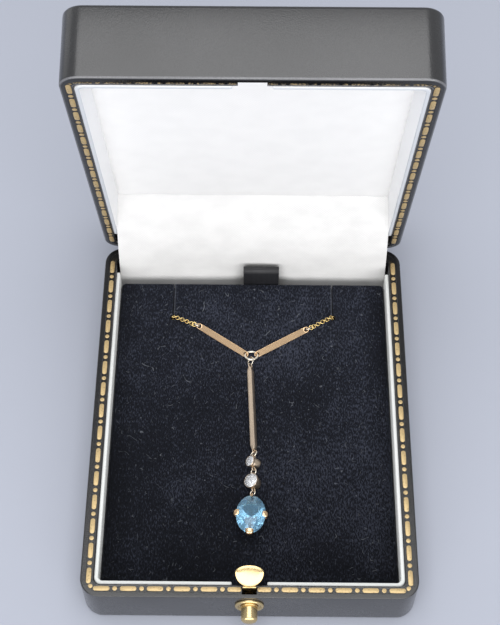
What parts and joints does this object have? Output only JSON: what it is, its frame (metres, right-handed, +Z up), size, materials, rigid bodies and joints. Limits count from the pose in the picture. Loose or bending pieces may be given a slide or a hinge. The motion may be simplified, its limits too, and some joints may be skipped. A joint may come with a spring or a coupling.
{
  "type": "lavaliere necklace in hinged presentation box",
  "caption": "Lavaliere necklace with side bars and a long gem drop, lying on the velvet pad of its open satin-lined presentation box.",
  "frame": {"origin": "centre of the base's underside", "axes": "+X to the right as seen from the front, +Y towards the hinge, +Z up"},
  "size_m": [0.082, 0.1237, 0.1169],
  "materials": {
    "leatherette": "dark grained leatherette with gold tooling",
    "white_lining": "white lining",
    "velvet": "black velvet",
    "ribbon": "black ribbon",
    "satin": "white satin",
    "hinge_brass": "satin",
    "pin_steel": "satin",
    "catch_brass": "polished",
    "rose_gold": "polished",
    "pale_gold": "polished",
    "yellow_gold": "polished",
    "diamond": "polished",
    "blue_gem": "polished"
  },
  "bodies": {
    "case": {"base_shell": "leatherette", "base_lining": "white_lining", "velvet_pad": "velvet", "pull_tab": "ribbon", "satin_hinge_cover": "satin", "hinge_leaf_base": "hinge_brass", "hinge_pin": "pin_steel", "catch_hook": "catch_brass", "button_plate": "catch_brass", "push_button": "catch_brass", "bar_left": "rose_gold", "bar_right": "rose_gold", "centre_ring": "pale_gold", "drop_bar": "rose_gold", "jump_ring_left": "pale_gold", "jump_ring_right": "pale_gold", "jump_ring_centre": "pale_gold", "drop_ring_upper": "pale_gold", "drop_ring_middle": "pale_gold", "drop_ring_lower": "pale_gold", "collet_small": "rose_gold", "diamond_small": "diamond", "collet_large": "rose_gold", "diamond_large": "diamond", "claw_setting": "rose_gold", "blue_stone": "blue_gem", "chain_left": "yellow_gold", "chain_right": "yellow_gold", "clasp": "yellow_gold"},
    "lid": {"hinge_leaf_lid": "hinge_brass", "lid_shell": "leatherette", "lid_lining": "white_lining", "lid_panel": "satin"}
  },
  "joints": [
    {"name": "lid_hinge", "type": "hinge", "parent": "case", "child": "lid", "pos_m": [0, 0.051, 0.01375], "axis": [1, 0, 0], "range_deg": [-15, 75], "deforming": ["satin_hinge_cover"]}
  ]
}
